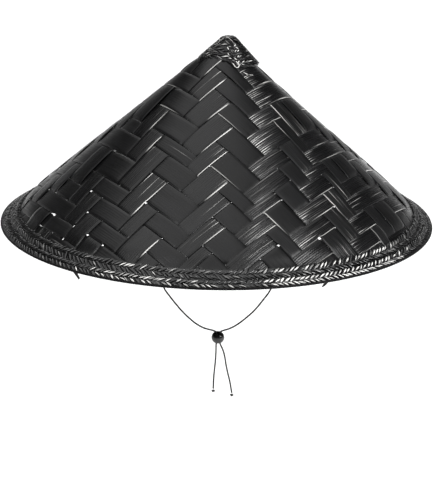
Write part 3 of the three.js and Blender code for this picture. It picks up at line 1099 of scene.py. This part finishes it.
def cap_rows(settings):
    """The rows of the cap's plait from its edge up, each in even steps round the leaning peak."""
    overrun = 3 * MM  # how far a row may run in past the top's round
    start, finish = math.radians(CAP_EDGE[0][0]), math.radians(CAP_EDGE[-1][0])
    rows = []
    for row in range(CAP_ROWS):
        azimuths, ups, radii = [], [], []
        azimuth = start
        up = (row + 0.5) * settings.cap_row
        while azimuth < finish:
            foot, spot = (cap_place(np.array([azimuth]), np.array([way]), 0.0)[0] for way in (0.0, up))
            # The peak leans, so the middle of a row lies a little to the right.
            radius = max(math.hypot(spot[0] - CAP_TOP.x * 0.6, spot[1]), 2 * MM)
            if up < math.dist(spot, foot) + overrun:
                azimuths.append(azimuth)
                ups.append(up)
                radii.append(radius)
            azimuth += settings.cap_strand / float(np.sin(cap_slant(azimuth))) / radius
        if azimuths:
            rows.append((np.array(azimuths), np.array(ups), np.array(radii), cap_place))
    return rows


def frayed_end():
    """Thin bare straws that have worked loose from the plait."""
    straws = []
    for route in FRAYED_END:
        azimuths, slants, lifts = np.array(route, float).T
        tube("loose_straw", on_crown(np.radians(azimuths), slants * MM, lifts * MM), STRAW / 2)
        bpy.ops.object.convert(target="MESH")
        straw = bpy.context.object
        ring_maps(straw, 0.8, 0.9, 1.0)
        straws.append(straw)
    return straws


def cap_backing():
    """The plain body of the cap under its plait, closed against the crown."""
    count = 96
    azimuths = np.arange(count) * math.tau / count
    foot = cap_place(azimuths, 0 * azimuths, 0.0)
    centre = cap_place(azimuths, np.full(count, 200 * MM), 0.0)
    way = np.linalg.norm(foot - centre, axis=-1) - CAP_TOP_RADIUS * 0.5
    under = (np.full(count, 11 * MM), cap_edge(azimuths)[0])
    rings = [on_crown(azimuths, slant, 0.3 * MM) for slant in under]
    rings += [cap_place(azimuths, share * way, -0.5 * MM) for share in (0.02, 0.25, 0.5, 0.75, 1.0)]
    faces = []
    for ring in range(len(rings) - 1):
        low, high = ring * count, (ring + 1) * count
        for i in range(count):
            j = (i + 1) % count
            faces.append((low + i, low + j, high + j, high + i))
    faces.append(tuple(range(high, high + count)))
    faces.append(tuple(range(count - 1, -1, -1)))
    backing = mesh_piece("cap_backing", np.concatenate(rings).tolist(), [], faces)
    face_outwards(backing)
    ring_maps(backing, 0.2)
    return backing


class HAT_OT_cap(bpy.types.Operator):
    """Wind the cap's plait round the peak"""

    bl_idname = "hat.cap"
    bl_label = "Peak Cap"

    def execute(self, context):
        settings = context.scene.hat_plait
        rows = cap_rows(settings)
        strands = plait(
            "peak_plait", rows, settings.cap_row, settings.cap_strand, 21, cap_glint, cap_slant
        )
        cap = join([strands, cap_backing(), *frayed_end()], "peak_plait")
        straw = bamboo_material("painted_cap_straw", ribs=700, gloss=0.24, specular=0.28, bare=1.5)
        hand_over(cap, straw, "peak_cap")
        return {"FINISHED"}


# Head ring


class HAT_OT_head_ring(bpy.types.Operator):
    """Bend the ring inside the crown and drill it for the cord"""

    bl_idname = "hat.head_ring"
    bl_label = "Head Ring"

    def execute(self, context):
        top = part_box("head_ring")[1][2]
        outer = 70 * MM
        inner = outer - 2 * MM
        hoop = spun("head_hoop", [(outer, top), (outer, 0), (inner, 0), (inner, top)], 144)
        apply_modifier(
            hoop, "BEVEL", width=0.5 * MM, segments=2, limit_method="ANGLE", angle_limit=math.radians(60)
        )
        bpy.ops.mesh.primitive_cylinder_add(
            vertices=24, radius=1.3 * MM, depth=3 * outer, rotation=(0, math.pi / 2, 0),
            location=(0, 0, CORD_LEFT[0][2] * MM),
        )
        drill = context.object
        apply_modifier(hoop, "BOOLEAN", object=drill, operation="DIFFERENCE", solver="EXACT")
        bpy.data.objects.remove(drill)
        ring_maps(hoop, 0.5)
        smooth(hoop)
        hand_over(hoop, bamboo_material("painted_hoop", ribs=600), "head_ring")
        return {"FINISHED"}


# Stage


class HAT_OT_stage(bpy.types.Operator):
    """Lay the pale floor and set the soft lights"""

    bl_idname = "hat.stage"
    bl_label = "Studio"

    def execute(self, context):
        scene = context.scene
        scene.view_settings.view_transform = "Standard"
        bpy.ops.mesh.primitive_plane_add(size=FLOOR_SIZE, location=(0, 0, CAD_BOX[0][2] - FLOOR_GAP))
        floor = context.object
        floor.name = "floor"
        floor.data.materials.append(floor_material())
        scene.world = studio_world()
        for light in LIGHTS:
            soft_light(*light)
        return {"FINISHED"}


def studio_world():
    """A pale wall low down all round and a wide soft box overhead, with a dark gap between them."""
    nodes = Nodes(bpy.data.worlds.new("studio"))
    direction = nodes.add("ShaderNodeTexCoord").outputs["Generated"]
    sideways, _, upward = nodes.add("ShaderNodeSeparateXYZ", Vector=direction).outputs[:3]
    dim = 0.02
    wall = nodes.ramp(upward, 0.28, 0.02, dim, 0.55)
    overhead = nodes.ramp(upward, 0.65, 0.86, dim, 2.25)
    within = nodes.ramp(sideways, 0.44, 0.2, dim, 1.0)
    glow = nodes.math("MULTIPLY_ADD", overhead, within, wall)
    background = nodes.add("ShaderNodeBackground", Color=(1, 1, 1, 1), Strength=glow).outputs[0]
    nodes.add("ShaderNodeOutputWorld", Surface=background)
    return nodes.owner


def soft_light(name, place, target, size, power):
    """A square soft box that faces its target."""
    away = Vector(place) - Vector(target)
    bpy.ops.object.light_add(type="AREA", location=place, rotation=away.to_track_quat("Z", "Y").to_euler())
    light = bpy.context.object
    light.name = name
    light.data.size = size
    light.data.energy = power


# Panel and registration


class HAT_PT_parts(bpy.types.Panel):
    bl_label = "Conical Bamboo Hat"
    bl_idname = "HAT_PT_parts"
    bl_space_type = "VIEW_3D"
    bl_region_type = "UI"
    bl_category = "Hat"

    def draw(self, context):
        for name in SETTINGS:
            box = self.layout.box()
            group = getattr(context.scene, name)
            for key in group.__annotations__:
                box.prop(group, key)
        for operator in OPERATORS:
            self.layout.operator(operator.bl_idname)


SETTINGS = {
    "hat_view": HAT_PG_view,
    "hat_cord": HAT_PG_cord,
    "hat_crown": HAT_PG_crown,
    "hat_plait": HAT_PG_plait,
    "hat_finish": HAT_PG_finish,
}
OPERATORS = (
    HAT_OT_camera, HAT_OT_cords, HAT_OT_crown, HAT_OT_rim, HAT_OT_cap, HAT_OT_head_ring, HAT_OT_stage,
)


def register():
    for each in (*SETTINGS.values(), *OPERATORS, HAT_PT_parts):
        bpy.utils.register_class(each)
    for name, group in SETTINGS.items():
        setattr(bpy.types.Scene, name, bpy.props.PointerProperty(type=group))


def unregister():
    for name in SETTINGS:
        delattr(bpy.types.Scene, name)
    for each in (HAT_PT_parts, *OPERATORS, *reversed(SETTINGS.values())):
        bpy.utils.unregister_class(each)


def main():
    register()
    bpy.ops.hat.camera()
    bpy.ops.hat.cords()
    bpy.ops.hat.crown()
    bpy.ops.hat.rim()
    bpy.ops.hat.cap()
    bpy.ops.hat.head_ring()
    bpy.ops.hat.stage()


if __name__ == "__main__":
    main()
